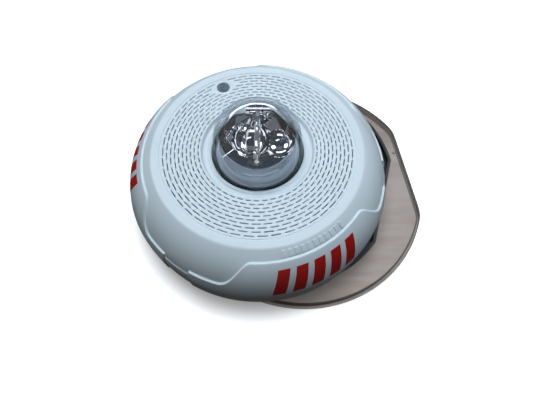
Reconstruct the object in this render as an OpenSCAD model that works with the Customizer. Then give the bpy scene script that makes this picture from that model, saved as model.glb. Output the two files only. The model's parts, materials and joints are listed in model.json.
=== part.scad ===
// Ceiling horn strobe: a round sounder and flash head, its mounting plate and its dust cover.
// The three lie loosely stacked and fanned out, as on a bench before fitting. Millimetres, +Z up.

/* [Head] */
// Outer diameter of the head at its rim
head_d = 173; // [168:1:180]
// Height from the rim to the flat face
face_z = 41.1; // [40:0.1:42]
// Radius of the crease between the flat face and the domed side
crease_r = 65.8; // [64:0.1:67]
// Height at which the upright rim turns into the domed side
dome_z = 14; // [12:0.5:15]
// Thickness of the cover's side wall
wall = 2.2; // [1.8:0.1:2.6]

/* [Marking band] */
// How far the band stands proud of the dome
band_proud = 1.1; // [0.6:0.1:1.4]
// Height of the band between the marking panels
band_low_z = 21.5; // [20:0.5:23]
// Height of the band at the marking panels
band_high_z = 36.7; // [35:0.1:37.5]
// Half the angle of a marking panel at its foot
panel_half_foot = 39.5; // [38:0.1:42]
// Half the angle of a marking panel at its top
panel_half_top = 31; // [29:0.1:33]
// Direction of the first marking panel, seen from above
panel_turn = -63.5; // [-70:0.1:-58]

/* [Sound slots] */
// Number of rings of slots
slot_rings = 10; // [6:1:10]
// Radius of the innermost ring
slot_first_r = 36.8; // [36.6:0.1:37.2]
// Spacing between rings
slot_pitch_r = 2.41; // [2.3:0.01:2.5]
// Slots in each ring
slots_per_ring = 48; // [30:1:48]
// Width of a slot
slot_w = 0.85; // [0.6:0.05:1.1]

/* [Lens] */
// Outer radius of the lens at its foot
lens_r = 28.6; // [28:0.1:29]
// Radius of the lens at the foot of its rounded top
lens_top_r = 26.1; // [25.5:0.1:26.5]
// Height of the lens top above the rim
lens_top_z = 64.7; // [64:0.1:66]
// Thickness of the lens
lens_wall = 2; // [1.5:0.1:2]

/* [Mounting plate] */
// Radius of the plate's round edge
plate_r = 83; // [82:0.1:83.4]
// Distance from the plate's centre to its two flats
plate_flat_r = 76; // [75:0.1:77]
// Height of the plate's edge
plate_h = 6; // [5:0.5:6]
// Thickness of the plate's sheet
plate_sheet = 2.2; // [1.8:0.1:2.4]
// Hole spacing for an octagon box
octagon_pitch = 88.9; // [88.9]
// Hole spacing along a double-gang box
gang_pitch_y = 83.3; // [83.3]
// Hole spacing across a double-gang box
gang_pitch_x = 46.0; // [46.0]

/* [Dust cover] */
// Outer radius of the dust cover
dust_r = 89.8; // [89:0.1:91]
// Distance from its centre to its two flats
dust_flat_r = 82.3; // [82:0.1:83]
// Height of the dust cover
dust_h = 8; // [7:0.5:10]
// Thickness of the dust cover
dust_wall = 1.2; // [1:0.1:1.4]

/* [Stack] */
// Shift of the plate from the head's centre, left to right
plate_shift_x = 15; // [13:0.5:16]
// Shift of the plate from the head's centre, front to back
plate_shift_y = 6.5; // [5:0.5:8]
// Shift of the dust cover from the head's centre, left to right
dust_shift_x = 30.3; // [28:0.1:32]
// Shift of the dust cover from the head's centre, front to back
dust_shift_y = 1.5; // [0:0.5:3]
// Turn of the plate's flats
plate_turn = -16.5; // [-20:0.5:-10]
// Turn of the dust cover's flats
dust_turn = 8; // [5:0.5:12]

/* [Hidden] */
$fn = 96;
eps = 0.01;

// Lip round the foot of the dust cover
dust_lip = 0.7;
dust_lip_h = 1.2;
dust_inner = dust_r - dust_lip - dust_wall;

// The dust cover reaches furthest at the corner where a flat meets the round edge.
dust_flat_half = sqrt(dust_r * dust_r - dust_flat_r * dust_flat_r);
dust_corner_x = dust_flat_r * cos(dust_turn) + dust_flat_half * sin(dust_turn);

// The dome is an arc from the top of the upright rim to the crease. dome_turn is half of what it turns.
rim_r = head_d / 2 - band_proud;
dome_turn = 21.5;
dome_run = rim_r - crease_r;
dome_rise = face_z - dome_z;
dome_chord = sqrt(dome_run * dome_run + dome_rise * dome_rise);
dome_r = dome_chord / (2 * sin(dome_turn));
dome_foot_a = atan(dome_run / dome_rise) - dome_turn;
dome_cx = rim_r - dome_r * cos(dome_foot_a);
dome_cz = dome_z - dome_r * sin(dome_foot_a);

// Radius of the upright rim under an arc of radius arc_r about the dome's centre.
function rim_under(arc_r) = dome_cx + sqrt(arc_r * arc_r - (dome_z - dome_cz) * (dome_z - dome_cz));

// The stack's box is centred on the origin.
stack_low = [-rim_under(dome_r + band_proud), dust_shift_y - dust_r];
stack_high = [dust_shift_x + dust_corner_x, dust_shift_y + dust_r];
head_xy = -(stack_low + stack_high) / 2;
head_z = dust_h + plate_h;
plate_xy = head_xy + [plate_shift_x, plate_shift_y];
dust_xy = head_xy + [dust_shift_x, dust_shift_y];

face_wall = 2.4;
rim_inner_r = plate_r + 1;
rim_step_z = 8;
notch_z = 18;
notch_w = 18.6;
notch_proud = 0.35;
panel_count = 3;

// Lens recess in the face
recess_floor_z = face_z - 2.8;
recess_sheet = 2.4;
recess_r = 35.2;
lens_gap = 0.4;
lens_corner = 12;
lens_flange_r = 33;
lens_flange_h = 1.8;
lens_flange_z = recess_floor_z - recess_sheet - lens_flange_h;

// Captive screw, set in the face
screw_r_from_centre = 53.5;
screw_turn = 116.7;
screw_xy = screw_r_from_centre * [cos(screw_turn), sin(screw_turn)];
screw_seat_z = 29;
screw_head_r = 3.6;
screw_head_h = 2.8;
screw_shank_r = 1.9;
screw_bore_r = 2.0;
screw_well_r = 4.25;
screw_tube_r = 5.6;
screw_tube_z = 14;
screw_tip_z = 2;
clip_z = 9;
clip_h = 0.8;
clip_groove_r = 1.5;

// Inside the head, all heights from the rim
back_z = 10;
back_sheet = 2.4;
back_r = rim_under(dome_r - wall) - 0.4;
board_z = 18;
board_sheet = 1.6;
board_top = board_z + board_sheet;
board_r = 63;
boss_ring_r = 70;
boss_turns = [30, 120, 210, 300];
boss_r = 4;
boss_top_z = 33.4;
pilot_r = 1.25;
strobe_r = 26;
strobe_deck_z = 36.8;
reflector_top_z = 50.5;
reflector_r = 23.2;
reflector_front = 20.2;
reflector_turn = 12;
bowl_r = 12.5;
tube_r = 1.8;
tube_z = reflector_top_z + tube_r + 0.2;
tube_half = 13.5;
electrode_half = 16.5;
lead_r = 0.5;
sounder_xy = [0, -49];
sounder_r = 15;
piezo_r = 13.5;
piezo_z = 27.4;
piezo_h = 0.6;
pin_pitch = 7.5;
pin_y = -6;
pin_r = 0.9;
pin_tip_z = 4;
pin_places = [for (i = [-1.5 : 1 : 1.5]) [i * pin_pitch, pin_y]];
candela_xy = [36, -14];
candela_travel = 9;
knob_low_z = 8.6;
tone_xy = [38, 14];
tone_rotor_r = 4;
capacitor_x = -42;
capacitor_r = 8;
capacitor_len = 32;

// On the plate, all heights from the plate's back
plate_rim = 2;
block_size = [44, 20];
block_xy = [0, -2];
block_top = plate_h + 3;
well_y = 3;
channel_h = 2.4;
well_floor = 6.2;

// ---- Shared shapes ----

module at_head() {
    translate([head_xy.x, head_xy.y, head_z]) children();
}

module at_plate() {
    translate([plate_xy.x, plate_xy.y, dust_h]) children();
}

module at_dust() {
    translate([dust_xy.x, dust_xy.y, 0]) children();
}

module rod(r, z0, z1) {
    translate([0, 0, z0]) cylinder(r = r, h = z1 - z0);
}

module block(size, low) {
    translate([-size.x / 2, -size.y / 2, low]) cube(size);
}

// Half section of the domed head, filled to the axis.
module dome_section(arc_r, top_z) {
    square([rim_under(arc_r), dome_z]);
    square([dome_cx, top_z]);
    intersection() {
        translate([dome_cx, dome_cz]) circle(r = arc_r);
        translate([0, dome_z]) square([dome_cx + arc_r, top_z - dome_z]);
    }
}

// Disc with two opposite flats.
module flatted_disc(r, flat_r, turn, h) {
    rotate(turn) intersection() {
        cylinder(r = r, h = h);
        translate([-flat_r, -r - 1, -1]) cube([2 * flat_r, 2 * r + 2, h + 2]);
    }
}

// ---- Head: cover ----

// Outline of one marking panel, seen square on: foot, ramps and rounded shoulders.
module panel_outline() {
    foot = rim_r * sin(panel_half_foot);
    top = (crease_r + 8) * sin(panel_half_top);
    polygon([
        [-foot - 8, 0], [foot + 8, 0], [foot + 8, band_low_z - 2], [foot + 2, band_low_z - 0.3],
        [foot - 1, band_low_z + 1.4], [top + 3, band_high_z - 2.6], [top, band_high_z - 0.7],
        [top - 4, band_high_z], [-top + 4, band_high_z], [-top, band_high_z - 0.7],
        [-top - 3, band_high_z - 2.6], [-foot + 1, band_low_z + 1.4], [-foot - 2, band_low_z - 0.3],
        [-foot - 8, band_low_z - 2]
    ]);
}

// Where the band shows: a low ring all round, and three tall panels.
module band_mask() {
    rod(head_d, -1, band_low_z);
    for (i = [0 : panel_count - 1])
        rotate(panel_turn + i * 360 / panel_count)
            rotate([90, 0, 90]) linear_extrude(height = head_d) panel_outline();
}

module sound_slots() {
    step = 360 / slots_per_ring;
    for (ring = [0 : slot_rings - 1]) {
        r = slot_first_r + ring * slot_pitch_r;
        length = r * sin(step) * (0.72 + 0.009 * ring);
        for (i = [0 : slots_per_ring - 1]) {
            a = (i + (ring % 2) / 2) * step;
            if (norm(r * [cos(a), sin(a)] - screw_xy) > screw_tube_r + 3)
                rotate(a) translate([r, 0]) square([slot_w, length], center = true);
        }
    }
}

// Where the low ring steps back for a grip, between the marking panels.
module grip_steps(height) {
    for (i = [0 : panel_count - 1])
        rotate(panel_turn - 61 + i * 360 / panel_count)
            translate([head_d / 2 - 20, -notch_w / 2, -1]) cube([40, notch_w, height + 1]);
}

// A row of small raised bars on the shoulder above the first panel.
module shoulder_bars() {
    bars = 11;
    for (i = [0 : bars - 1])
        rotate(-78 + i * 3.1)
            intersection() {
                rotate_extrude(angle = 1.7, $fn = 180) difference() {
                    dome_section(dome_r + 0.45, face_z - 0.2);
                    dome_section(dome_r - 0.5, face_z + 1);
                }
                translate([67.6, -3, 35]) cube([3.8, 8, 7]);
            }
}

module front_cover() {
    color("#dfe7ec") at_head() difference() {
        union() {
            shoulder_bars();
            difference() {
                union() {
                    rotate_extrude() dome_section(dome_r, face_z);
                    intersection() {
                        rotate_extrude() dome_section(dome_r + band_proud, face_z - 0.5);
                        difference() {
                            band_mask();
                            grip_steps(face_z);
                        }
                    }
                    intersection() {
                        rotate_extrude() dome_section(dome_r + notch_proud, face_z - 0.5);
                        grip_steps(notch_z);
                    }
                }
                rotate_extrude() dome_section(dome_r - wall, face_z - face_wall);
                rod(rim_inner_r, -1, rim_step_z);
                rod(recess_r - 4, face_z - 10, face_z + 1);
            }
            // Recess sheet round the lens
            rotate_extrude() polygon([
                [lens_r + lens_gap, recess_floor_z - recess_sheet],
                [recess_r + 0.6, recess_floor_z - recess_sheet],
                [recess_r + 0.6, face_z - eps],
                [lens_r + lens_gap, face_z - eps]
            ]);
            translate([screw_xy.x, screw_xy.y]) rod(screw_tube_r, screw_tube_z, face_z - 1);
            for (a = boss_turns)
                rotate(a) translate([boss_ring_r, 0]) rod(boss_r, back_z + back_sheet, boss_top_z);
            // Hooks that catch the plate's edge
            for (a = [0, 180])
                rotate(a) translate([rim_inner_r - 2.4, -5, 3]) cube([3.4, 10, 2.5]);
        }
        // Recess, its sloping edge and the opening for the lens
        rotate_extrude() polygon([
            [0, recess_floor_z], [recess_r - 1.9, recess_floor_z], [recess_r - 1.2, recess_floor_z + 0.5],
            [recess_r - 0.3, face_z - 0.5], [recess_r + 0.3, face_z + 0.01], [0, face_z + 1]
        ]);
        rod(lens_r + lens_gap, recess_floor_z - recess_sheet - 1, recess_floor_z + 1);
        // Fine groove outside the slots
        rotate_extrude() translate([60.4, face_z - 0.3]) square([0.7, 1]);
        translate([0, 0, face_z - face_wall - 1]) linear_extrude(height = face_wall + 2) sound_slots();
        translate([screw_xy.x, screw_xy.y]) {
            rod(screw_well_r, screw_seat_z, face_z + 1);
            rod(screw_bore_r, screw_tube_z - 1, screw_seat_z + 1);
        }
        for (a = boss_turns)
            rotate(a) translate([boss_ring_r, 0]) rod(pilot_r, back_z, 26);
    }
}

// ---- Head: strobe ----

module lens_section(inset) {
    z_side = lens_top_z - lens_corner;
    polygon([
        [0, lens_flange_z - 1], [lens_r - inset, lens_flange_z - 1],
        [lens_r - inset, recess_floor_z], [lens_top_r - inset, z_side], [0, z_side]
    ]);
    translate([lens_top_r - lens_corner, z_side]) intersection() {
        circle(r = lens_corner - inset);
        square(lens_corner);
    }
    square([lens_top_r - lens_corner, lens_top_z - inset]);
}

module lens() {
    color([0.9, 0.95, 1, 0.35]) at_head() {
        difference() {
            union() {
                rotate_extrude() lens_section(0);
                rod(lens_flange_r, lens_flange_z, lens_flange_z + lens_flange_h);
            }
            rotate_extrude() lens_section(lens_wall);
            rod(lens_flange_r + 5, -5, lens_flange_z);
        }
        // Orientation tab at the foot of the lens
        rotate(118) translate([lens_r - 1.4, -2, recess_floor_z + 0.1]) cube([4.2, 4, 5]);
    }
}

module reflector() {
    color("silver") at_head() {
        difference() {
            rod(reflector_r, strobe_deck_z, reflector_top_z);
            rotate(reflector_turn) translate([-30, -30 - reflector_front, 0]) cube([60, 30, 60]);
            translate([-4, 0, reflector_top_z]) sphere(r = bowl_r);
            translate([13, -3, reflector_top_z + 2]) sphere(r = 9.5);
            for (side = [-1, 1])
                translate([0, side * electrode_half, 0]) rod(lead_r + 0.4, 30, reflector_top_z + 1);
        }
        // Upright mirror block behind the flash tube
        translate([0, 19.6, reflector_top_z - eps]) block([15, 3.4, 5.5], 0);
    }
}

module strobe_base() {
    color("#e8e8e4") at_head() difference() {
        rod(strobe_r, board_top, strobe_deck_z);
        rod(strobe_r - 2, board_top - 1, strobe_deck_z - 2);
        for (side = [-1, 1])
            translate([0, side * electrode_half, 0]) rod(lead_r + 0.4, 30, strobe_deck_z + 1);
    }
}

module flash_tube() {
    color([0.95, 0.97, 1, 0.5]) at_head()
        translate([0, 0, tube_z]) rotate([90, 0, 0]) cylinder(r = tube_r, h = 2 * tube_half, center = true);
}

module tube_electrodes() {
    color("gray") at_head()
        for (side = [-1, 1])
            translate([0, side * tube_half, tube_z]) rotate([-90 * side, 0, 0])
                cylinder(r = tube_r - 0.4, h = electrode_half - tube_half + 1);
}

module tube_leads() {
    color("peru") at_head()
        for (side = [-1, 1])
            translate([0, side * electrode_half, 0]) rod(lead_r, board_top, tube_z - tube_r + 0.4);
}

// ---- Head: electronics ----

module circuit_board() {
    color("darkgreen") at_head() difference() {
        rod(board_r, board_z, board_top);
        translate([screw_xy.x, screw_xy.y]) rod(screw_tube_r + 1.5, board_z - 1, board_top + 1);
    }
}

module trigger_coil() {
    color("#303030") at_head() translate([40, -24]) block([9, 11, 9], board_top);
}

module storage_capacitor() {
    color("#1d2a44") at_head()
        translate([capacitor_x, 0, board_top + capacitor_r]) rotate([90, 0, 0])
            cylinder(r = capacitor_r, h = capacitor_len, center = true);
}

module boost_inductor() {
    color("#4a3b2a") at_head() translate([43, 4]) {
        rod(7.5, board_top, board_top + 1.5);
        rod(5.5, board_top + 1.5 - eps, board_top + 9);
        rod(7.5, board_top + 9 - eps, board_top + 10.5);
    }
}

module power_transistor() {
    color("#222222") at_head() translate([22, 44]) {
        block([10, 4.5, 9], board_top);
        translate([0, 1.6]) block([10, 1.3, 14.5], board_top);
    }
}

module board_chips() {
    color("#2b2b2b") at_head() {
        translate([-30, -40]) block([8, 6, 1.6], board_top);
        translate([30, -42]) block([6, 6, 1.4], board_top);
        translate([-14, 36]) block([10, 5, 1.8], board_top);
        translate([46, 24]) block([5, 7, 2.2], board_top);
    }
}

module piezo_disc() {
    color("goldenrod") at_head() translate([sounder_xy.x, sounder_xy.y]) {
        rod(piezo_r, piezo_z, piezo_z + piezo_h / 2);
        rod(piezo_r - 4, piezo_z + piezo_h / 2 - eps, piezo_z + piezo_h);
    }
}

module sounder_holder() {
    color("#d8d8d4") at_head() translate([sounder_xy.x, sounder_xy.y]) difference() {
        rod(sounder_r, board_top, 34);
        rod(piezo_r - 1.5, board_top - 1, 35);
        rod(piezo_r + 0.1, piezo_z, 35);
    }
}

module sounder_leads() {
    color("firebrick") at_head() translate([sounder_xy.x, sounder_xy.y])
        for (side = [-1, 1])
            translate([side * 5, 0]) rod(lead_r, board_top, piezo_z);
}

module contact_pins() {
    color("gold") at_head()
        for (p = pin_places)
            translate([p.x, p.y]) {
                rod(pin_r, pin_tip_z + 0.8, board_z);
                translate([0, 0, pin_tip_z]) cylinder(r1 = 0.4, r2 = pin_r, h = 0.8 + eps);
            }
}

// ---- Head: rear ----

module rear_housing() {
    color("#25272a") at_head() difference() {
        union() {
            rod(back_r, back_z, back_z + back_sheet);
            for (a = [45 : 90 : 315])
                rotate(a) translate([52, 0]) rod(3, back_z, board_z);
            difference() {
                rod(60, back_z - 1.6, back_z + eps);
                rod(58, back_z - 2, back_z + 1);
            }
        }
        for (a = boss_turns)
            rotate(a) translate([boss_ring_r, 0]) rod(1.6, back_z - 1, board_z);
        for (p = pin_places)
            translate([p.x, p.y]) rod(pin_r + 0.7, back_z - 1, board_z);
        translate([screw_xy.x, screw_xy.y]) rod(screw_tube_r + 0.4, back_z - 3, board_z);
        translate([candela_xy.x, candela_xy.y])
            block([2 * candela_travel + 6, 4.8, 10], back_z - 1);
        translate([tone_xy.x, tone_xy.y]) rod(tone_rotor_r + 0.5, back_z - 1, board_z);
    }
}

module housing_screws() {
    color("silver") at_head()
        for (a = boss_turns)
            rotate(a) translate([boss_ring_r, 0]) difference() {
                union() {
                    rod(2.9, back_z - 2, back_z);
                    rod(pilot_r - 0.05, back_z - eps, 24);
                }
                block([4, 0.8, 1], back_z - 2.1);
                block([0.8, 4, 1], back_z - 2.1);
            }
}

module candela_switch() {
    color("#3a3a3a") at_head() translate([candela_xy.x, candela_xy.y]) difference() {
        block([2 * candela_travel + 8, 9, 4.6], board_z - 4.6);
        block([2 * candela_travel + 3.6, 3.6, 3], board_z - 4.7);
    }
}

module candela_selector() {
    color("#f2f2f2") at_head() translate([candela_xy.x, candela_xy.y]) {
        block([3, 3, board_z - 2.2 - knob_low_z], knob_low_z);
        block([4.4, 4, 1.2], knob_low_z);
    }
}

module tone_switch() {
    color("#3a3a3a") at_head() translate([tone_xy.x, tone_xy.y]) difference() {
        block([11, 11, 4.6], board_z - 4.6);
        rod(tone_rotor_r + 0.05, board_z - 5, board_z - 1.4);
    }
}

module tone_selector() {
    color("#f2f2f2") at_head() translate([tone_xy.x, tone_xy.y]) difference() {
        rod(tone_rotor_r, knob_low_z, board_z - 1.6);
        block([6.4, 1, 1.4], knob_low_z - 0.4);
        block([1, 6.4, 1.4], knob_low_z - 0.4);
    }
}

module captive_screw() {
    color("silver") at_head() translate([screw_xy.x, screw_xy.y]) difference() {
        union() {
            rod(screw_head_r, screw_seat_z, screw_seat_z + screw_head_h);
            rod(screw_shank_r, screw_tip_z + 1, screw_seat_z + eps);
            translate([0, 0, screw_tip_z]) cylinder(r1 = 1, r2 = screw_shank_r, h = 1 + eps);
        }
        difference() {
            rod(screw_shank_r + 1, clip_z - 0.05, clip_z + clip_h + 0.05);
            rod(clip_groove_r, clip_z - 1, clip_z + 2);
        }
        block([4.6, 0.9, 3], screw_seat_z + 1);
        block([0.9, 4.6, 3], screw_seat_z + 1);
    }
}

module screw_clip() {
    color("gray") at_head() translate([screw_xy.x, screw_xy.y]) difference() {
        rod(3.5, clip_z, clip_z + clip_h);
        rod(clip_groove_r + 0.05, clip_z - 1, clip_z + 2);
    }
}

// ---- Mounting plate ----

module box_slot(at, length) {
    translate([at.x, at.y, -1]) {
        translate([-length / 2, -2.3, 0]) cube([length, 4.6, 9]);
        for (side = [-1, 1])
            translate([side * length / 2, 0, 0]) cylinder(r = 2.3, h = 9);
    }
}

module mounting_plate() {
    color("#1b1c1e") at_plate() difference() {
        union() {
            flatted_disc(plate_r, plate_flat_r, plate_turn, plate_sheet);
            difference() {
                flatted_disc(plate_r, plate_flat_r, plate_turn, plate_h);
                translate([0, 0, -1])
                    flatted_disc(plate_r - plate_rim, plate_flat_r - plate_rim, plate_turn, plate_h + 2);
            }
            // Stiffening ring
            difference() {
                rod(58, 0, 4.4);
                rod(56.2, -1, 6);
            }
            // Boss for the threaded insert
            translate([screw_xy.x, screw_xy.y]) rod(5.2, 0, plate_h - 0.3);
        }
        translate([screw_xy.x, screw_xy.y]) rod(3.2, -1, plate_h + 1);
        for (side = [-1, 1])
            box_slot([side * octagon_pitch / 2, 0], 5.4);
        for (sx = [-1, 1], sy = [-1, 1])
            translate([sx * gang_pitch_x / 2, sy * gang_pitch_y / 2]) rod(2.3, -1, 9);
        // Opening for the field wiring
        translate([-22, 12, -1]) cube([44, 20, 5]);
    }
}

module terminal_block() {
    color("#34363a") at_plate() translate([block_xy.x, block_xy.y]) difference() {
        block([block_size.x, block_size.y, block_top - plate_sheet], plate_sheet);
        for (p = pin_places) {
            translate([p.x, p.y]) rod(pin_r + 0.35, plate_sheet + 1, block_top + 1);
            translate([p.x * 1.2, well_y]) {
                rod(3.1, well_floor, block_top + 1);
                rod(1.45, plate_sheet, well_floor + 1);
                translate([0, 2]) block([6.4, 12, channel_h], plate_sheet - eps);
            }
        }
        // Pocket for the shorting spring
        translate([-9, -2.6, block_top - 2.4]) cube([18, 2.4, 3]);
    }
}

module terminal_clamps() {
    color("gold") at_plate() translate([block_xy.x, block_xy.y])
        for (p = pin_places)
            translate([p.x * 1.2, well_y + 1.8]) block([5.8, 11, 0.8], plate_sheet);
}

module terminal_screws() {
    color("silver") at_plate() translate([block_xy.x, block_xy.y])
        for (p = pin_places)
            translate([p.x * 1.2, well_y]) difference() {
                union() {
                    rod(2.7, well_floor, well_floor + 2);
                    rod(1.4, plate_sheet + 0.8, well_floor + eps);
                }
                block([4, 0.8, 1], well_floor + 1.1);
            }
}

module shorting_spring() {
    color("darkgoldenrod") at_plate() translate([block_xy.x, block_xy.y]) {
        translate([-8.6, -2.1, block_top - 2.4]) cube([2.6, 1.4, 1.4]);
        translate([-8.6, -2.1, block_top - 1 - eps]) cube([16, 1.4, 0.5]);
        translate([4.9, -2.1, block_top - 0.5 - 2 * eps]) cube([2.5, 1.4, 0.6]);
    }
}

module screw_insert() {
    color("goldenrod") at_plate() translate([screw_xy.x, screw_xy.y]) difference() {
        rod(3.2, 0, plate_h - 0.3);
        rod(1.75, -1, plate_h + 1);
    }
}

// ---- Dust cover ----

module dust_cover() {
    color([0.5, 0.45, 0.42, 0.6]) at_dust() {
        difference() {
            union() {
                flatted_disc(dust_r, dust_flat_r, dust_turn, dust_lip_h);
                flatted_disc(dust_r - dust_lip, dust_flat_r - dust_lip, dust_turn, dust_h);
            }
            translate([0, 0, -1])
                flatted_disc(dust_inner, dust_flat_r - dust_r + dust_inner, dust_turn, dust_h - dust_wall + 1);
        }
        // Snap fingers inside the flats
        rotate(dust_turn) for (side = [-1, 1], end = [-1, 1])
            translate([side * (dust_flat_r - 4.2) - 1.2, end * 24 - 4, dust_h - dust_wall - 1.6])
                cube([2.4, 8, 1.6 + eps]);
        // Pip left by the moulding gate
        rotate(19.5) translate([76.5, 0]) rod(1.1, dust_h - eps, dust_h + 0.5);
    }
}

front_cover();
lens();
reflector();
strobe_base();
flash_tube();
tube_electrodes();
tube_leads();
trigger_coil();
circuit_board();
board_chips();
power_transistor();
storage_capacitor();
boost_inductor();
piezo_disc();
sounder_holder();
sounder_leads();
rear_housing();
housing_screws();
contact_pins();
candela_switch();
candela_selector();
tone_switch();
tone_selector();
captive_screw();
screw_clip();
mounting_plate();
terminal_block();
terminal_clamps();
terminal_screws();
shorting_spring();
screw_insert();
dust_cover();
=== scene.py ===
import json
import math

import bpy
import bmesh
from mathutils import Matrix, Vector, geometry


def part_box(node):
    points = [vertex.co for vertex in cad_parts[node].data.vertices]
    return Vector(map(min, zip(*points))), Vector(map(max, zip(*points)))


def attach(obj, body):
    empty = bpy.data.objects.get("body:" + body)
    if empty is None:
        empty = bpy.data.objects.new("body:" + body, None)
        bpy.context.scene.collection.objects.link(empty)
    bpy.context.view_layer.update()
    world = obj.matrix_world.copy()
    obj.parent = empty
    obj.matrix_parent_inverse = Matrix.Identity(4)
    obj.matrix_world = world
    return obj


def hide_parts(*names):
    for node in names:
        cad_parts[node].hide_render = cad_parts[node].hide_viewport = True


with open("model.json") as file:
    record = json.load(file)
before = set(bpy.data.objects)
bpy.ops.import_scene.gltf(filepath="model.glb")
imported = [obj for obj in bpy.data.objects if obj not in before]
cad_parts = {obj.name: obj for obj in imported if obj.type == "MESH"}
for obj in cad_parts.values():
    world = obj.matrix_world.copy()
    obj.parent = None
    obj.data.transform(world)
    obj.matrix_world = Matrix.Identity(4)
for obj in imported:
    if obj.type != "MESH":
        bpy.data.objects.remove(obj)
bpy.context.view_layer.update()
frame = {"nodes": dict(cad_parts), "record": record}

# A ceiling horn strobe: its head lies loose on the mounting plate, and both lie on the dust cover.
# Pieces are drawn in millimetres about their own middle and placed in metres. Materials, the floor
# and the lamps are in metres. Turns are in degrees, anticlockwise from +X.

MM = 0.001
TAU = 2 * math.pi


# ---------------------------------------------------------------- places

def centre_of(node):
    """The middle of a node's box, in millimetres."""
    low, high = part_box(node)
    return (low + high) / 2 / MM


HEAD = centre_of("circuit_board")
HEAD_X, HEAD_Y, HEAD_Z = HEAD.x, HEAD.y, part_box("front_cover")[0][2] / MM
DUST = centre_of("dust_cover")
DUST_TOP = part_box("mounting_plate")[0][2] / MM


def at_head(x, y, z):
    """A place measured from the middle of the head's rim plane."""
    return Vector(((HEAD_X + x) * MM, (HEAD_Y + y) * MM, (HEAD_Z + z) * MM))


def at_dust(x, y, z):
    """A place measured from the middle of the dust cover, at floor height."""
    return Vector(((DUST.x + x) * MM, (DUST.y + y) * MM, z * MM))


# ---------------------------------------------------------------- camera

def make_camera():
    """A close, wide view from the front, looking steeply down at the head."""
    elevation, roll, distance = math.radians(64.4), math.radians(0.47), 240.0
    target = Vector((HEAD_X + 5.75, HEAD_Y - 26.1, HEAD_Z + 20.0))
    forward = Vector((0, math.cos(elevation), -math.sin(elevation)))
    up = Vector((0, math.sin(elevation), math.cos(elevation)))
    right = Vector((1, 0, 0))
    right, up = (
        right * math.cos(roll) + up * math.sin(roll),
        up * math.cos(roll) - right * math.sin(roll),
    )
    data = bpy.data.cameras.new("camera")
    data.sensor_width, data.lens = 36.0, 25.3283
    data.clip_start, data.clip_end = 0.005, 20
    cam = bpy.data.objects.new("camera", data)
    bpy.context.scene.collection.objects.link(cam)
    turn = Matrix((right, up, -forward)).transposed().to_4x4()
    turn.translation = (target - forward * distance) * MM
    cam.matrix_world = turn
    bpy.context.scene.camera = cam


make_camera()


# ---------------------------------------------------------------- materials

class Nodes:
    """A small wrapper for building a node tree."""

    def __init__(self, name):
        self.mat = bpy.data.materials.new(name)
        self.mat.use_nodes = True
        self.tree = self.mat.node_tree
        self.tree.nodes.clear()
        self.out = self.add("ShaderNodeOutputMaterial")
        self.coord = self.add("ShaderNodeTexCoord").outputs["Object"]

    def add(self, kind, **values):
        node = self.tree.nodes.new(kind)
        for key, value in values.items():
            if hasattr(node, key):
                setattr(node, key, value)
            else:
                node.inputs[key].default_value = value
        return node

    def link(self, a, b):
        self.tree.links.new(a, b)

    def noise(self, scale, detail=3.0, roughness=0.5, vector=None):
        node = self.add("ShaderNodeTexNoise", Scale=scale, Detail=detail, Roughness=roughness)
        self.link(vector or self.coord, node.inputs["Vector"])
        return node.outputs["Fac"]

    def stretch(self, x, y, z):
        """The object's coordinates, scaled along each axis."""
        node = self.add("ShaderNodeMapping")
        node.inputs["Scale"].default_value = (x, y, z)
        self.link(self.coord, node.inputs["Vector"])
        return node.outputs["Vector"]

    def ramp(self, factor, low, high, a, b):
        """Runs from a to b while factor runs from low to high."""
        node = self.add("ShaderNodeMapRange")
        for key, value in zip(("From Min", "From Max", "To Min", "To Max"), (low, high, a, b)):
            node.inputs[key].default_value = value
        self.link(factor, node.inputs["Value"])
        return node.outputs["Result"]

    def mix(self, factor, a, b):
        node = self.add("ShaderNodeMix", data_type="RGBA")
        sockets = [s for s in node.inputs if s.type == "RGBA"]
        for socket, value in zip(sockets, (a, b)):
            if isinstance(value, tuple):
                socket.default_value = (*value, 1)
            else:
                self.link(value, socket)
        self.link(factor, node.inputs["Factor"])
        return [s for s in node.outputs if s.type == "RGBA"][0]

    def math(self, kind, a, b):
        node = self.add("ShaderNodeMath", operation=kind)
        for socket, value in zip(node.inputs, (a, b)):
            if isinstance(value, (int, float)):
                socket.default_value = value
            else:
                self.link(value, socket)
        return node.outputs[0]

    def bump(self, height, distance):
        node = self.add("ShaderNodeBump", Strength=1.0, Distance=distance)
        self.link(height, node.inputs["Height"])
        return node.outputs["Normal"]

    def shader(self, color, rough, normal=None, **fixed):
        node = self.add("ShaderNodeBsdfPrincipled")
        for key, value in fixed.items():
            node.inputs[key.replace("_", " ")].default_value = value
        for key, value in (("Base Color", color), ("Roughness", rough)):
            if isinstance(value, tuple):
                node.inputs[key].default_value = (*value, 1)
            elif isinstance(value, float):
                node.inputs[key].default_value = value
            else:
                self.link(value, node.inputs[key])
        if normal:
            self.link(normal, node.inputs["Normal"])
        return node

    def finish(self, node):
        self.link(node.outputs[0], self.out.inputs["Surface"])
        return self.mat

    def see_through(self, tint, skin, share):
        """Finishes a clear sheet: it lets tinted light pass, and skin shows on it by share."""
        clear = self.add("ShaderNodeBsdfTransparent")
        self.link(tint, clear.inputs["Color"])
        mixer = self.add("ShaderNodeMixShader")
        for socket, source in zip(mixer.inputs, (share, clear.outputs[0], skin.outputs[0])):
            self.link(source, socket)
        return self.finish(mixer)


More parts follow.
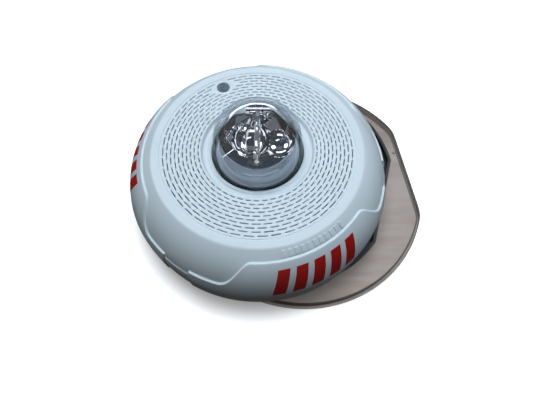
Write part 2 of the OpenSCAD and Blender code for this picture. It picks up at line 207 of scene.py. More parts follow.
def plastic(name, color, rough=0.42, grain=2600, depth=0.00002, drift=0.05):
    """Moulded plastic: fine grain, slow colour drift and uneven gloss."""
    n = Nodes(name)
    slow = n.noise(22, 2.0)
    dark = tuple(c * (1 - drift) for c in color)
    light = tuple(min(1, c * (1 + drift)) for c in color)
    base = n.mix(n.ramp(slow, 0.3, 0.7, 0, 1), dark, light)
    fine = n.noise(grain, 2.0, 0.6)
    gloss = n.ramp(n.noise(90, 3.0), 0.3, 0.7, rough - 0.05, rough + 0.05)
    return n.finish(n.shader(base, gloss, n.bump(fine, depth), Specular_IOR_Level=0.5))


def metal(name, color, rough):
    """Plated or rolled metal: brushed streaks, a little tarnish."""
    n = Nodes(name)
    lines = n.noise(700, 3.0, 0.6, n.stretch(1, 1, 18))
    stain = n.ramp(n.noise(160, 4.0), 0.45, 0.75, 0, 0.15)
    base = n.mix(stain, color, tuple(c * 0.45 for c in color))
    gloss = n.ramp(lines, 0.25, 0.75, rough * 0.6, rough * 1.5)
    return n.finish(n.shader(base, gloss, n.bump(lines, 0.000004), Metallic=1.0))


def white_cover():
    """The cover's satin white: a fine moulded grain, and a tone that drifts slowly."""
    n = Nodes("satin_white")
    slow = n.ramp(n.noise(14, 2.0), 0.35, 0.65, 0, 1)
    base = n.mix(slow, (0.69, 0.765, 0.815), (0.725, 0.80, 0.845))
    fine = n.noise(3200, 2.0, 0.6)
    coarse = n.noise(900, 2.0, 0.5)
    grain = n.math("ADD", fine, n.math("MULTIPLY", coarse, 0.6))
    gloss = n.ramp(n.noise(60, 3.0), 0.3, 0.7, 0.36, 0.46)
    return n.finish(n.shader(base, gloss, n.bump(grain, 0.000018), Specular_IOR_Level=0.5))


def red_print():
    """Printed red ink: slightly speckled, with a dull sheen."""
    n = Nodes("red_ink")
    speck = n.ramp(n.noise(1400, 3.0, 0.7), 0.35, 0.7, 0, 1)
    base = n.mix(speck, (0.46, 0.008, 0.007), (0.56, 0.013, 0.011))
    grain = n.noise(3200, 2.0, 0.6)
    return n.finish(n.shader(base, 0.5, n.bump(grain, 0.000015), Specular_IOR_Level=0.3))


def clear_plastic():
    """Thin clear polycarbonate: see-through, darker where it is seen edge on, with faint flow waves."""
    n = Nodes("clear_polycarbonate")
    waves = n.noise(60, 2.0)
    normal = n.bump(waves, 0.00006)
    edge = n.add("ShaderNodeLayerWeight", Blend=0.30)
    n.link(normal, edge.inputs["Normal"])
    thick = n.ramp(edge.outputs["Facing"], 0.66, 0.98, 0, 1)
    tint = n.mix(thick, (0.985, 0.99, 0.998), (0.60, 0.54, 0.54))
    gloss = n.ramp(n.noise(200, 3.0), 0.3, 0.8, 0.01, 0.04)
    skin = n.shader((0.80, 0.84, 0.90), gloss, normal, Metallic=1.0)
    share = n.math("MULTIPLY", n.add("ShaderNodeFresnel", IOR=1.33).outputs[0], 0.5)
    return n.see_through(tint, skin, share)


def tube_glass():
    """The flash tube's glass, faintly hazed."""
    n = Nodes("tube_glass")
    haze = n.ramp(n.noise(900, 3.0), 0.4, 0.8, 0.0, 0.12)
    tint = n.mix(haze, (0.96, 0.97, 1.0), (0.80, 0.80, 0.83))
    return n.finish(n.shader(tint, 0.03, n.bump(n.noise(300), 0.00002),
                             Transmission_Weight=0.9, IOR=1.45))


def mirror():
    """Vacuum-metallised plastic: a bright skin with a faint ripple."""
    n = Nodes("mirror_skin")
    ripple = n.noise(190, 2.0)
    haze = n.ramp(n.noise(500, 3.0), 0.4, 0.8, 0, 0.3)
    base = n.mix(haze, (0.86, 0.87, 0.90), (0.60, 0.60, 0.63))
    gloss = n.ramp(n.noise(700, 3.0), 0.4, 0.9, 0.015, 0.10)
    return n.finish(n.shader(base, gloss, n.bump(ripple, 0.00010), Metallic=1.0))


def smoke_sheet():
    """Smoky see-through sheet: streaked tint, a little milky, glossy."""
    n = Nodes("smoke_sheet")
    streak = n.noise(55, 4.0, 0.55, n.stretch(0.35, 2.6, 1))
    cloud = n.noise(18, 3.0)
    both = n.math("ADD", n.math("MULTIPLY", streak, 0.6), n.math("MULTIPLY", cloud, 0.4))
    tone = n.ramp(both, 0.38, 0.62, 0, 1)
    tint = n.mix(tone, (0.585, 0.55, 0.535), (0.66, 0.635, 0.625))
    gloss = n.ramp(cloud, 0.3, 0.7, 0.10, 0.20)
    skin = n.shader((0.42, 0.36, 0.32), gloss, n.bump(n.noise(120, 3.0), 0.00005))
    fresnel = n.add("ShaderNodeFresnel", IOR=1.45)
    share = n.math("ADD", n.math("MULTIPLY", fresnel.outputs[0], 0.8), 0.10)
    return n.see_through(tint, skin, share)


def floor_material():
    """Plain white: a pale matt floor that glows, with a painted shadow where the glow fades out close to
    the head's foot.
    """
    near, far, painted_shadow_glow, bright = 0.077, 0.100, 0.03, 0.80
    n = Nodes("pale_floor_painted_shadow")
    base = n.mix(n.noise(3, 2.0), (0.60, 0.60, 0.605), (0.63, 0.63, 0.635))
    body = n.shader(base, 0.9, Specular_IOR_Level=0.1, Emission_Color=(1, 1, 1, 1))
    away = n.add("ShaderNodeVectorMath", operation="DISTANCE")
    n.link(n.coord, away.inputs[0])
    away.inputs[1].default_value = (HEAD_X * MM, HEAD_Y * MM, 0.0)
    # Painted shadow: the floor's glow drops from bright to dim towards the head's foot.
    glow_with_painted_shadow = n.ramp(away.outputs["Value"], near, far, painted_shadow_glow, bright)
    n.link(glow_with_painted_shadow, body.inputs["Emission Strength"])
    return n.finish(body)


MATERIALS = {
    "white_plastic": white_cover(),
    "white_plastic_inner": plastic("inner_white", (0.70, 0.73, 0.80), 0.45),
    "clear_lens": clear_plastic(),
    "mirror_chrome": mirror(),
    "tube_glass": tube_glass(),
    "plated_steel": metal("zinc_steel", (0.60, 0.60, 0.58), 0.3),
    "copper_wire": metal("tinned_wire", (0.62, 0.47, 0.34), 0.25),
    "coil_black": plastic("potting_black", (0.02, 0.02, 0.022), 0.2, 600),
    "board_green": plastic("solder_resist", (0.02, 0.16, 0.07), 0.25, 1200, drift=0.2),
    "chip_black": plastic("epoxy_black", (0.025, 0.025, 0.028), 0.5, 3000),
    "capacitor_sleeve": plastic("shrink_sleeve", (0.03, 0.05, 0.13), 0.22, 500),
    "choke_brown": plastic("varnished_winding", (0.15, 0.075, 0.03), 0.35, 1500, 0.0001, 0.3),
    "brass_disc": metal("brass_sheet", (0.72, 0.52, 0.22), 0.22),
    "wire_red": plastic("red_insulation", (0.42, 0.02, 0.02), 0.35),
    "black_plastic": plastic("black_moulding", (0.018, 0.019, 0.022), 0.38, 1800, 0.00004, 0.25),
    "brass_contacts": metal("plated_brass", (0.76, 0.60, 0.30), 0.2),
    "switch_grey": plastic("switch_grey", (0.05, 0.05, 0.055), 0.45),
    "terminal_grey": plastic("terminal_grey", (0.045, 0.048, 0.055), 0.42),
    "smoke_plastic": smoke_sheet(),
}
RED = red_print()


# ---------------------------------------------------------------- mesh helpers

class Shell:
    """Collects points and faces for one piece."""

    def __init__(self, place):
        self.place = place
        self.points = []
        self.faces = []
        self.kinds = []

    def loop(self, points):
        """Adds points and returns their numbers."""
        start = len(self.points)
        self.points += [self.place(*p) for p in points]
        return list(range(start, len(self.points)))

    def face(self, corners, kind=0):
        self.faces.append(tuple(corners))
        self.kinds.append(kind)

    def bridge(self, a, b, kind=0):
        """A band of quads between two closed loops of the same length."""
        count = len(a)
        for i in range(count):
            j = (i + 1) % count
            self.face((a[i], a[j], b[j], b[i]), kind)

    def stack(self, loops, kind=0):
        """Bands between neighbouring loops."""
        for a, b in zip(loops, loops[1:]):
            self.bridge(a, b, kind)

    def cap(self, loop, point, kind=0):
        """Closes a loop with a fan round one point."""
        tip = self.loop([point])[0]
        for i, a in enumerate(loop):
            self.face((a, loop[(i + 1) % len(loop)], tip), kind)

    def make(self, name, materials, angle, outward=True):
        """Builds the object. Edges sharper than angle stay sharp."""
        mesh = bpy.data.meshes.new(name)
        mesh.from_pydata(self.points, [], self.faces)
        for m in materials:
            mesh.materials.append(m)
        mesh.polygons.foreach_set("material_index", self.kinds)
        if outward:
            bm = bmesh.new()
            bm.from_mesh(mesh)
            bmesh.ops.recalc_face_normals(bm, faces=bm.faces)
            bm.to_mesh(mesh)
            bm.free()
        mesh.polygons.foreach_set("use_smooth", [True] * len(mesh.polygons))
        mesh.set_sharp_from_angle(angle=math.radians(angle))
        obj = bpy.data.objects.new(name, mesh)
        bpy.context.scene.collection.objects.link(obj)
        return obj


def polar(r, angle, z=0.0, at=(0.0, 0.0)):
    """The point at radius r and an angle in radians about the upright axis through at."""
    return at[0] + r * math.cos(angle), at[1] + r * math.sin(angle), z


def turns(steps):
    """Evenly spaced angles once round, in radians."""
    return [TAU * i / steps for i in range(steps)]


def circle(r, z, steps, at=(0.0, 0.0)):
    """Evenly spaced points round a circle."""
    return [polar(r, angle, z, at) for angle in turns(steps)]


def circles(shell, profile, steps, at=(0.0, 0.0)):
    """One loop for each (radius, height) of a profile."""
    return [shell.loop(circle(r, z, steps, at)) for r, z in profile]


def lathe(shell, profile, steps, at):
    """Turns a closed profile of (radius, height) about the upright axis through at."""
    loops = circles(shell, profile, steps, at)
    shell.stack(loops)
    shell.bridge(loops[-1], loops[0])


def smooth(t):
    """Eases from 0 to 1."""
    t = max(0.0, min(1.0, t))
    return t * t * (3 - 2 * t)


def arc(cx, cz, r, a0, a1, count):
    """Points along an arc of a section from angle a0 to a1."""
    return [
        (
            cx + r * math.cos(math.radians(a0 + (a1 - a0) * i / count)),
            cz + r * math.sin(math.radians(a0 + (a1 - a0) * i / count)),
        )
        for i in range(count + 1)
    ]


# ---------------------------------------------------------------- cover

# Heights are above the rim, radii from the head's middle.
FACE_Z, FACE_WALL = 41.1, 2.4
CREASE_R, RIM_R = 65.8, 85.4
WALL = 2.2
STEPS = 720

# The domed side is an arc from the top of the upright rim to the crease round the face.
DOME_Z = 14.0
DOME_TURN = math.radians(21.5)
DOME_R = math.hypot(RIM_R - CREASE_R, FACE_Z - DOME_Z) / (2 * math.sin(DOME_TURN))
DOME_FOOT = math.atan((RIM_R - CREASE_R) / (FACE_Z - DOME_Z)) - DOME_TURN
DOME_CX = RIM_R - DOME_R * math.cos(DOME_FOOT)
DOME_CZ = DOME_Z - DOME_R * math.sin(DOME_FOOT)

# The raised band, which climbs to a high ledge on each of three marking panels, with a grip between.
BAND, BAND_EDGE = 1.1, 1.15
BAND_LOW, BAND_HIGH = 21.5, 36.7
PANELS, PANEL_TURN = 3, -63.5
HALF_FOOT, HALF_TOP = 39.5, 31.0
GRIP_TURN, GRIP_HALF, GRIP_Z, GRIP_BAND = -61.0, 6.2, 18.0, 0.35

# The band's foot stays a hair inside the CAD solid, and the dome stops short of its soft crease.
BOX_PLAY, CREASE_SOFT, DOME_STEPS = 0.01, 0.014, 22

# Sound slots: a wide mouth tapers over a short lead-in to a narrow throat.
RINGS, PER_RING = 10, 48
FIRST_R, PITCH_R, SLOT_W = 36.8, 2.41, 0.85
SLOT_SHARE, SLOT_GAIN = 0.72, 0.009
MOUTH, THROAT, LEAD_IN = 0.05, -0.19, 0.35

# The slotted ring ends at a shallow groove. The lens stands in the recess, and the screw in its well.
SLOTTED_R, GROOVE_IN, GROOVE_OUT, GROOVE_DEEP = 60.15, 60.3, 60.8, 0.28
RECESS_R, FLOOR_Z = 35.2, 38.3
SCREW = Vector(polar(53.5, math.radians(116.7))[:2])
WELL_R, WELL_LOW_R, WELL_STEPS, WELL_CLEAR = 4.7, 5.25, 48, 5.6

# Widths, pitches and slants of the bars are turns about the head, and the raised bars' lengths are
# turns down the dome from the crease.
RED_BARS, RED_PITCH, RED_W, RED_SLANT = 5, 8.0, 5.2, 3.0
RED_LOW, RED_TALL, RED_LIFT, RED_SINK = 15.8, 17.4, 0.05, -0.2
RAISED_BARS, RAISED_FIRST, RAISED_PITCH, RAISED_W = 11, -78, 3.1, 1.7
RAISED_START, RAISED_LONG, RAISED_LIFT, RAISED_SINK = 2.9, 4.8, 0.6, -0.4


def dome_point(phi, lift=0.0):
    """A point of the dome's section: phi is its angle about the arc's centre, in radians."""
    r = DOME_R + lift
    return DOME_CX + r * math.cos(phi), DOME_CZ + r * math.sin(phi)


def phi_at(z, lift=0.0):
    """The angle at which the dome's section, lifted or sunk, reaches a height."""
    return math.asin((z - DOME_CZ) / (DOME_R + lift))


CREASE_PHI = phi_at(FACE_Z)


def panel_offset(azimuth):
    """Degrees from the middle of the nearest marking panel."""
    pitch = 360 / PANELS
    return (azimuth - PANEL_TURN + pitch / 2) % pitch - pitch / 2


def in_grip(azimuth):
    """1 inside a grip step between two panels, else 0, with short ramps."""
    off = abs(panel_offset(azimuth - GRIP_TURN))
    return smooth((GRIP_HALF + 0.25 - off) / 0.5)


def ledge_height(azimuth):
    """Height of the band's upper edge: low, or high on a panel, with a ramp rounded at both ends."""
    off = abs(panel_offset(azimuth))
    t = (HALF_FOOT - off) / (HALF_FOOT - HALF_TOP)
    soft = 0.32
    if t <= -soft or t >= 1 + soft:
        rise = 0.0 if t < 0.5 else 1.0
    elif t < soft:
        rise = (t + soft) ** 2 / (4 * soft)
    elif t > 1 - soft:
        rise = 1 - (1 + soft - t) ** 2 / (4 * soft)
    else:
        rise = t
    low = BAND_LOW + (GRIP_Z - BAND_LOW) * in_grip(azimuth)
    return low + (BAND_HIGH - low) * rise


def outer_profile(azimuth):
    """Section of the cover's outside at one azimuth, from the rim's foot to the face."""
    band = BAND + (GRIP_BAND - BAND) * in_grip(azimuth)
    foot, top = phi_at(DOME_Z, band), phi_at(ledge_height(azimuth), band)
    start, end = top + BAND_EDGE / DOME_R, CREASE_PHI - CREASE_SOFT
    r = dome_point(foot, band)[0] - BOX_PLAY
    shares = [k / DOME_STEPS for k in range(1, DOME_STEPS + 1)]
    points = [(r - 0.45, 0.0), (r - 0.12, 0.1)]
    points += [(r, z) for z in (0.4, 3.0, 6.5, 10.0, DOME_Z)]
    points += [dome_point(foot + (top - foot) * t, band) for t in shares]
    for t in (0.1, 0.22, 0.36, 0.5, 0.64, 0.78, 0.9, 1.0):
        points.append(dome_point(top + (start - top) * t, band * (1 - smooth(t))))
    points += [dome_point(start + (end - start) * t) for t in shares]
    points += [(CREASE_R - 0.15, FACE_Z - 0.055), (CREASE_R - 0.75, FACE_Z)]
    return points


def slot_loop(r, angle, length, grow):
    """Outline of one sound slot, with cut corners, widened all round by grow."""
    half_w, half_l, cut = SLOT_W / 2 + grow, length / 2 + grow, 0.22
    corners = (
        (half_w, -half_l + cut), (half_w, half_l - cut), (half_w - cut, half_l),
        (-half_w + cut, half_l), (-half_w, half_l - cut), (-half_w, -half_l + cut),
        (-half_w + cut, -half_l), (half_w - cut, -half_l),
    )
    c, s = math.cos(angle), math.sin(angle)
    return [((r + u) * c - v * s, (r + u) * s + v * c) for u, v in corners]


def slots():
    """Radius, angle and length of each slot that stays clear of the screw's well."""
    step = TAU / PER_RING
    for ring in range(RINGS):
        r = FIRST_R + ring * PITCH_R
        length = r * math.sin(step) * (SLOT_SHARE + SLOT_GAIN * ring)
        for i in range(PER_RING):
            angle = (i + (ring % 2) / 2) * step
            loop = slot_loop(r, angle, length, MOUTH)
            if min((Vector(p) - SCREW).length for p in loop) > WELL_CLEAR:
                yield r, angle, length


def slotted_face(shell, outer, inner):
    """The ring of the face with its slots and the screw's well, on both sides.

    outer and inner are the (radius, height) pairs of the edge loops: top side, then underside.
    Returns the outer, inner and well edges, each as a pair of loops in the same order."""
    flat, edges, groups = [], [], []

    def add(loop, group):
        start = len(flat)
        flat.extend(Vector(p[:2]) for p in loop)
        count = len(loop)
        edges.extend((start + i, start + (i + 1) % count) for i in range(count))
        groups.extend([group] * count)
        return range(start, start + count)

    (outer_r, top_z), (outer_low_r, low_z) = outer
    (inner_r, _), (inner_low_r, _) = inner
    outer_group, inner_group, well_group = -1, -2, -3
    rims = (
        (add(circle(outer_r, 0, STEPS), outer_group), circle(outer_low_r, low_z, STEPS)),
        (add(circle(inner_r, 0, STEPS), inner_group), circle(inner_low_r, low_z, STEPS)),
        (add(circle(WELL_R, 0, WELL_STEPS, SCREW), well_group),
         circle(WELL_LOW_R, low_z, WELL_STEPS, SCREW)),
    )
    places = list(slots())
    slot_ids = [add(slot_loop(*place, MOUTH), k) for k, place in enumerate(places)]

    result = geometry.delaunay_2d_cdt(flat, edges, [], 0, 1e-6)
    faces, origin = result[2], result[3]
    source = [o[0] if o else None for o in origin]
    keep = []
    for face in faces:
        ids = [source[v] for v in face]
        if None in ids:
            continue
        touched = {groups[i] for i in ids}
        # A triangle that touches only one hole's edge lies in that hole.
        in_a_hole = len(touched) == 1 and outer_group not in touched
        if not in_a_hole:
            keep.append(ids)

    top = shell.loop([(p.x, p.y, top_z) for p in flat])
    under = [None] * len(flat)
    for ids, points in rims:
        for i, made in zip(ids, shell.loop(points)):
            under[i] = made
    for ids, place in zip(slot_ids, places):
        throat = slot_loop(*place, THROAT)
        lip = shell.loop([(x, y, top_z - LEAD_IN) for x, y in throat])
        low = shell.loop([(x, y, low_z) for x, y in throat])
        for i, made in zip(ids, low):
            under[i] = made
        shell.stack([[top[i] for i in ids], lip, low])
    for ids in keep:
        shell.face([top[i] for i in ids])
        shell.face([under[i] for i in reversed(ids)])
    return [([top[i] for i in ids], [under[i] for i in ids]) for ids, _ in rims]


def border(grid):
    """The points round the edge of a grid, once round."""
    return grid[0] + [r[-1] for r in grid[1:]] + grid[-1][-2::-1] + [r[0] for r in grid[-2:0:-1]]


def surface_patch(shell, kind, place, cols, rows, lift, sink):
    """A thin closed patch on the dome. place(u, v) gives its azimuth, its phi and the lift under it."""
    skins = []
    for height in (lift, sink):
        grid = []
        for j in range(rows + 1):
            row = []
            for i in range(cols + 1):
                azimuth, phi, base = place(i / cols, j / rows)
                r, z = dome_point(phi, base + height)
                row.append(polar(r, azimuth, z))
            grid.append(shell.loop(row))
        skins.append(grid)
    upper, lower = skins
    for j in range(rows):
        for i in range(cols):
            shell.face((upper[j][i], upper[j][i + 1], upper[j + 1][i + 1], upper[j + 1][i]), kind)
            shell.face((lower[j][i], lower[j + 1][i], lower[j + 1][i + 1], lower[j][i + 1]), kind)
    shell.bridge(border(upper), border(lower), kind)


def red_bars(shell):
    """Slanted red bars on each marking panel."""
    for panel in range(PANELS):
        middle = PANEL_TURN + 360 / PANELS * panel
        for k in range(RED_BARS):
            centre = middle + (k - (RED_BARS - 1) / 2) * RED_PITCH

            def place(u, v, centre=centre):
                azimuth = centre + (u - 0.5) * RED_W + (v - 0.5) * RED_SLANT
                return math.radians(azimuth), phi_at(RED_LOW + RED_TALL * v, BAND), BAND

            surface_patch(shell, 1, place, 8, 14, RED_LIFT, RED_SINK)


def raised_bars(shell):
    """A row of small raised bars on the shoulder over the first panel."""
    for k in range(RAISED_BARS):
        low = math.radians(RAISED_FIRST + RAISED_PITCH * k)

        def place(u, v, low=low):
            phi = CREASE_PHI - math.radians(RAISED_START + RAISED_LONG * v)
            return low + math.radians(RAISED_W) * u, phi, 0.0

        surface_patch(shell, 0, place, 4, 6, RAISED_LIFT, RAISED_SINK)


def screw_bosses(shell):
    """The four hollow posts inside the shell that take the housing screws."""
    for turn in (30, 120, 210, 300):
        at = polar(70, math.radians(turn))[:2]
        lathe(shell, [(1.25, 12.4), (4.0, 12.4), (4.0, 33.0), (1.25, 33.0)], 32, at)


def cover_outside(shell):
    """The outer skin, as loops from the rim's foot to the face."""
    azimuths = [360.0 * i / STEPS for i in range(STEPS)]
    sections = [outer_profile(azimuth) for azimuth in azimuths]
    return [
        shell.loop([polar(r, math.radians(azimuth), z) for azimuth, (r, z) in zip(azimuths, level)])
        for level in zip(*sections)
    ]


def make_cover():
    """One shell: outside, slotted face, lens recess, inside and screw well, then the parts on it."""
    shell = Shell(at_head)
    under_z, groove_z = FACE_Z - FACE_WALL, FACE_Z - GROOVE_DEEP
    outside = cover_outside(shell)
    shell.stack(outside)
    groove = [(GROOVE_OUT + 0.15, FACE_Z), (GROOVE_OUT, groove_z), (GROOVE_IN, groove_z)]
    groove = circles(shell, groove, STEPS)
    outer = ((SLOTTED_R, FACE_Z), (SLOTTED_R, under_z))
    inner = ((RECESS_R + 0.45, FACE_Z), (35.95, under_z))
    (top_out, low_out), (top_in, low_in), (well_top, well_low) = slotted_face(shell, outer, inner)
    shell.stack([outside[-1], *groove, top_out])

    recess = [
        (RECESS_R + 0.1, FACE_Z - 0.08), (RECESS_R - 0.25, FACE_Z - 0.4), (RECESS_R - 0.8, 39.1),
        (RECESS_R - 1.1, 38.6), (RECESS_R - 1.6, FLOOR_Z), (31.6, FLOOR_Z), (31.35, 38.75),
        (31.0, 38.95), (30.4, 38.95), (30.1, 38.8), (29.5, 38.35), (29.1, FLOOR_Z - 0.1),
        (29.0, FLOOR_Z - 0.4), (29.0, 35.9), (35.0, 35.9), (35.7, 36.2),
    ]
    shell.stack([top_in, *circles(shell, recess, STEPS), low_in])

    start, foot = math.degrees(phi_at(under_z, -WALL)) - 0.8, math.degrees(phi_at(DOME_Z, -WALL))
    inside = [(65.0, under_z)]
    inside += arc(DOME_CX, DOME_CZ, DOME_R - WALL, start, foot, 16)
    inside += [(83.1, 8.0), (84.0, 8.0), (84.0, 0.3), (84.2, 0.0)]
    shell.stack([low_out, *circles(shell, inside, STEPS), outside[0]])

    well = [
        (4.4, 40.95), (4.28, 40.6), (4.25, 30.0), (4.25, 29.0), (2.0, 29.0), (2.0, 14.0),
        (WELL_LOW_R, 14.0),
    ]
    shell.stack([well_top, *circles(shell, well, WELL_STEPS, SCREW), well_low])
    screw_bosses(shell)
    raised_bars(shell)
    red_bars(shell)
    cover = shell.make("cover_shell", [MATERIALS["white_plastic"], RED], 32)
    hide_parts("front_cover")
    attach(cover, "head")


make_cover()


# ---------------------------------------------------------------- lens

LENS_R, LENS_TOP_R, LENS_CORNER, LENS_TOP = 28.6, 26.1, 12.0, 64.7
LENS_WALL, LENS_STEPS = 2.0, 256
TAB_TURN, TAB_W, TAB_LOW, TAB_HIGH = 118, 3.6, 38.4, 43.5


def lens_profile(inset, foot_z):
    """Half section of the lens skin from its foot to near the middle of its top."""
    side_z, top_z, steps = LENS_TOP - LENS_CORNER, LENS_TOP - inset, 8
    points = [(LENS_R - inset, foot_z), (LENS_R - inset, FLOOR_Z)]
    for k in range(1, steps):
        t = k / steps
        points.append((LENS_R - inset + (LENS_TOP_R - LENS_R) * t, FLOOR_Z + (side_z - FLOOR_Z) * t))
    points += arc(LENS_TOP_R - LENS_CORNER, side_z, LENS_CORNER - inset, 0, 90, 18)
    return points + [(r, top_z) for r in (9.5, 5.0, 1.5)]


def lens_dome():
    """The clear dome with the flange that holds it under the face."""
    shell = Shell(at_head)
    flange = [(33.0, 34.2), (33.0, 35.6), (32.8, 35.8), (29.0, 35.8)]
    outer = circles(shell, flange + lens_profile(0.0, 36.0), LENS_STEPS)
    shell.stack(outer)
    shell.cap(outer[-1], (0, 0, LENS_TOP))
    inner = circles(shell, lens_profile(LENS_WALL, 34.1), LENS_STEPS)
    shell.stack(inner)
    shell.cap(inner[-1], (0, 0, LENS_TOP - LENS_WALL))
    shell.bridge(outer[0], inner[0])
    return shell.make("lens_dome", [MATERIALS["clear_lens"]], 40)


def lens_tab():
    """The small tab on the dome's side that shows which way round it goes."""
    shell = Shell(at_head)
    out = Vector(polar(1, math.radians(TAB_TURN))[:2])
    side = Vector((-out.y, out.x))
    rings = []
    for z, grow in ((TAB_LOW, 0.0), (TAB_LOW + 0.4, 0.25), (TAB_HIGH - 0.5, 0.15), (TAB_HIGH, -0.25)):
        near, far, half = LENS_R - 0.55, LENS_R + 1.6 + grow, TAB_W / 2 + grow
        corners = [(near, -half), (far, -half + 0.4), (far + 0.3, 0), (far, half - 0.4), (near, half)]
        rings.append(shell.loop([(*(out * u + side * v), z) for u, v in corners]))
    shell.stack(rings)
    shell.face(rings[0][::-1])
    shell.face(rings[-1])
    return shell.make("lens_tab", [MATERIALS["clear_lens"]], 30)


def make_lens():
    for piece in (lens_dome(), lens_tab()):
        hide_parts("lens")
        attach(piece, "head")


make_lens()


# ---------------------------------------------------------------- reflector

MIRROR_TOP, MIRROR_DEEPEST, MIRROR_FOOT, MIRROR_LIP = 50.5, 11.5, 36.9, 0.8
MIRROR_R, MIRROR_FLAT, MIRROR_TURN = 23.2, 20.2, math.radians(12)
MIRROR_RINGS, MIRROR_STEPS = 58, 192
# Middle, radius, flattening and rise of each bowl.
BIG_BOWL = ((-4, 0), 12.5, 0.92, 0.0)
SMALL_BOWL = ((13, -3), 9.5, 0.85, 1.4)


def bowl(x, y, centre, radius, flatten, rise):
    """Depth of a round bowl at (x, y), 0 outside it."""
    inside = radius ** 2 - (x - centre[0]) ** 2 - (y - centre[1]) ** 2
    return math.sqrt(inside) * flatten - rise if inside > 0 else 0.0


def mirror_height(x, y):
    """Height of the mirror skin: whichever of its bowls and slopes is deepest."""
    along, across = 0.80 * x + 0.60 * y, -0.60 * x + 0.80 * y
    trough = 4.4 - abs(across - 11.0) * 0.9 if abs(along - 0.5) < 15 else 0.0
    left_wing, right_wing = (-x - 14.0) * 0.55, (x + 0.35 * y - 17.0) * 0.75
    front_right, front_left = (0.25 * x - y - 8.5) * 0.33, (-0.5 * x - y - 15.0) * 0.55
    bowls = bowl(x, y, *BIG_BOWL), bowl(x, y, *SMALL_BOWL)
    depth = max(0.0, *bowls, trough, left_wing, right_wing, front_right, front_left)
    return MIRROR_TOP - min(depth, MIRROR_DEEPEST)


def mirror_edge(angle):
    """Radius of the mirror's outline: a circle cut straight at the back."""
    along = math.cos(angle - MIRROR_TURN - math.pi / 2)
    return min(MIRROR_R, MIRROR_FLAT / along) if along > 0.01 else MIRROR_R


def mirror_block(shell):
    """The raised block at the back, whose front leans back as it rises."""
    half_w, front, back = 7.5, 17.9, 21.3
    rows = []
    for z, lean in ((50.4, 0.0), (51.6, 0.2), (52.8, 0.6), (54.0, 1.2), (55.2, 2.1), (56.0, 3.0)):
        half = half_w * (1 - lean * 0.01)
        near = front + lean
        rows.append(shell.loop([(-half, near, z), (half, near, z), (half, back, z), (-half, back, z)]))
    shell.stack(rows)
    shell.face(rows[0][::-1])
    shell.face(rows[-1])


def make_reflector():
    shell = Shell(at_head)
    angles = turns(MIRROR_STEPS)
    loops = []
    for k in range(1, MIRROR_RINGS + 1):
        places = [polar(mirror_edge(a) * k / MIRROR_RINGS, a)[:2] for a in angles]
        loops.append(shell.loop([(x, y, mirror_height(x, y)) for x, y in places]))
    rim = [polar(mirror_edge(a), a)[:2] for a in angles]
    lip = shell.loop([(x, y, mirror_height(x, y) - MIRROR_LIP) for x, y in rim])
    foot = shell.loop([(x, y, MIRROR_FOOT) for x, y in rim])
    shell.stack([*loops, lip])
    shell.bridge(lip, foot, 1)
    shell.cap(loops[0], (0, 0, mirror_height(0, 0)))
    shell.cap(foot, (0, 0, MIRROR_FOOT), 1)
    mirror_block(shell)
    skins = [MATERIALS["mirror_chrome"], MATERIALS["white_plastic_inner"]]
    mirror_piece = shell.make("reflector_skin", skins, 24)
    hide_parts("reflector")
    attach(mirror_piece, "head")


make_reflector()


# ---------------------------------------------------------------- dust cover

DUST_R, DUST_FLAT, DUST_TURN = 89.8, 82.3, math.radians(8)
DUST_SOFT, DUST_WALL, DUST_STEPS = 0.9, 1.2, 480
PIP_R, PIP_TURN = 76.5, math.radians(19.5)


def dust_edge(angle, inset):
    """Radius of the dust cover's outline: a circle cut by two flats, with soft corners."""
    along = abs(math.cos(angle - DUST_TURN))
    flat = (DUST_FLAT - inset) / max(along, 0.2)
    a, b = (DUST_R - inset) / DUST_SOFT, flat / DUST_SOFT
    least = min(a, b)
    return DUST_SOFT * (least - math.log(math.exp(least - a) + math.exp(least - b)))


def make_dust_cover():
    """A shallow tray, open below, with a small pip on top."""
    shell = Shell(at_dust)
    top, under = DUST_TOP, DUST_TOP - DUST_WALL

    def rings(profile):
        """One loop for each (inset, height)."""
        return [
            shell.loop([polar(dust_edge(angle, inset), angle, z) for angle in turns(DUST_STEPS)])
            for inset, z in profile
        ]

    side = [
        (0.0, 0.0), (0.0, 0.9), (0.15, 1.15), (0.7, 1.25), (0.85, 2.0), (1.1, 5.2),
        (1.4, 6.6), (2.0, 7.5), (2.9, top - 0.02), (4.0, top),
    ]
    inner_side = [
        (inset + DUST_WALL, z - DUST_WALL if z > 4 else z - DUST_WALL / 2) for inset, z in side[4:]
    ]
    across = (8, 16, 26, 38, 52, 68)
    outer = rings(side + [(inset, top) for inset in across])
    shell.stack(outer)
    shell.cap(outer[-1], (0, 0, top))
    inner = rings([(1.9, 0.0)] + inner_side + [(inset, under) for inset in across])
    shell.stack(inner)
    shell.cap(inner[-1], (0, 0, under))
    shell.bridge(outer[0], inner[0])
    pip = [(1.1, top - 0.1), (1.05, top + 0.25), (0.8, top + 0.45), (0.3, top + 0.5)]
    lathe(shell, pip, 24, polar(PIP_R, PIP_TURN)[:2])
    cover = shell.make("dust_shell", [MATERIALS["smoke_plastic"]], 35)
    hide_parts("dust_cover")
    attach(cover, "cover")


make_dust_cover()


# ---------------------------------------------------------------- CAD nodes

def dress_cad_nodes():
    """Gives each CAD mesh the material of its slot in the record."""
    for part in frame["record"]["subparts"]:
        node = frame["nodes"].get(part["node"])
        if node is None or node.type != "MESH":
            continue
        material = MATERIALS[part["material_slot"]]
        if node.material_slots:
            for slot in node.material_slots:
                slot.material = material
        else:
            node.data.materials.append(material)


dress_cad_nodes()


# ---------------------------------------------------------------- stage

FLOOR_SECTION = ((1.5, 0), (2.4, 0), (2.9, 0.08), (3.3, 0.3), (3.6, 0.7), (3.75, 1.3), (3.8, 2.6))


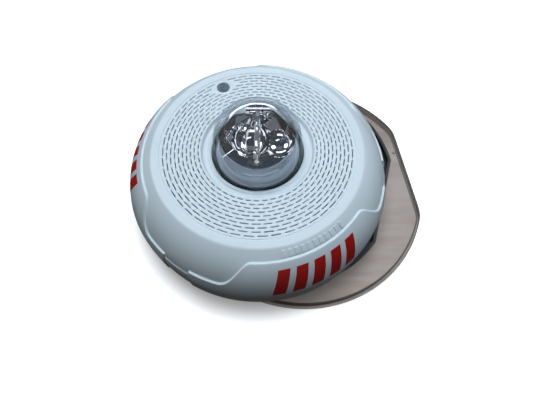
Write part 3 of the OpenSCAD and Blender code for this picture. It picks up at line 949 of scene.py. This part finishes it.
def make_stage():
    """A round floor whose outer rim curls up. It lies a hair under the object."""
    dish = Shell(lambda x, y, z: Vector((x, y, z)))
    rings = circles(dish, FLOOR_SECTION, 96)
    dish.stack(rings)
    dish.face(rings[0])
    floor = dish.make("floor", [floor_material()], 60, outward=False)
    floor.location.z = -0.0002
    floor.visible_diffuse = floor.visible_glossy = floor.visible_shadow = False


make_stage()


# ---------------------------------------------------------------- light

# Name, place in metres, size in metres, watts and colour. These light the object, and no gloss shows them.
LAMPS = (
    ("key", (-0.07, 0.30, 1.16), (0.6, 0.5), 12.2, (0.84, 0.94, 1.0)),
    ("side", (0.9, 0.15, 0.6), (0.4, 0.4), 1.5, (0.72, 0.90, 1.0)),
)
# Name, turn, elevation, size in metres and brightness. These show only as reflections.
SOFTBOXES = (
    ("box_left", 158, 48, (0.34, 0.30), 2.8),
    ("box_right", 38, 52, (0.26, 0.34), 3.0),
    ("box_back", 100, 30, (0.60, 0.24), 3.0),
    ("box_front", -70, 62, (0.34, 0.12), 1.6),
    ("box_low", -95, 24, (0.50, 0.20), 2.0),
    ("card_top", 90, 64, (0.44, 0.32), 0.10),
)
SOFTBOX_AWAY, SOFTBOX_TINT = 0.8, (0.95, 0.98, 1.0)
LAMP_AIM, SOFTBOX_AIM = (0, 0, 0.03), (0, 0, 0.06)


def area(name, place, aim, size, power, color):
    """A rectangular lamp at place that looks towards aim."""
    data = bpy.data.lights.new(name, "AREA")
    data.shape = "RECTANGLE"
    data.size, data.size_y = size
    data.energy = power
    data.color = color
    lamp = bpy.data.objects.new(name, data)
    bpy.context.scene.collection.objects.link(lamp)
    lamp.location = place
    lamp.rotation_euler = (Vector(aim) - Vector(place)).to_track_quat("-Z", "Y").to_euler()
    return lamp


def softbox(name, turn, elevation, size, brightness):
    """A card that faces the object from a turn and an elevation."""
    a, e = math.radians(turn), math.radians(elevation)
    place = Vector((math.cos(e) * math.cos(a), math.cos(e) * math.sin(a), math.sin(e))) * SOFTBOX_AWAY
    power = brightness * math.pi * size[0] * size[1]
    return area(name, place, SOFTBOX_AIM, size, power, SOFTBOX_TINT)


for name, place, size, power, color in LAMPS:
    area(name, place, LAMP_AIM, size, power, color).visible_glossy = False
for card in SOFTBOXES:
    softbox(*card).visible_diffuse = False


def make_world():
    """Dim studio: warm and dark below, a little paler from the horizon up, and bluish overhead."""
    world = bpy.data.worlds.new("world")
    world.use_nodes = True
    tree = world.node_tree
    back = tree.nodes.get("Background")
    coord = tree.nodes.new("ShaderNodeTexCoord")
    split = tree.nodes.new("ShaderNodeSeparateXYZ")
    ramp = tree.nodes.new("ShaderNodeValToRGB")
    half = tree.nodes.new("ShaderNodeMapRange")
    half.inputs["From Min"].default_value = -1.0
    tree.links.new(coord.outputs["Generated"], split.inputs[0])
    tree.links.new(split.outputs["Z"], half.inputs["Value"])
    tree.links.new(half.outputs["Result"], ramp.inputs["Fac"])
    tree.links.new(ramp.outputs["Color"], back.inputs["Color"])
    stops = ramp.color_ramp.elements
    stops[0].position, stops[0].color = 0.0, (0.045, 0.038, 0.032, 1)
    stops[1].position, stops[1].color = 1.0, (0.05, 0.06, 0.07, 1)
    for position, color in (
        (0.45, (0.032, 0.028, 0.024, 1)),
        (0.56, (0.07, 0.066, 0.062, 1)),
        (0.78, (0.055, 0.06, 0.07, 1)),
    ):
        stops.new(position).color = color
    bpy.context.scene.world = world


make_world()
bpy.context.scene.view_settings.view_transform = "Standard"
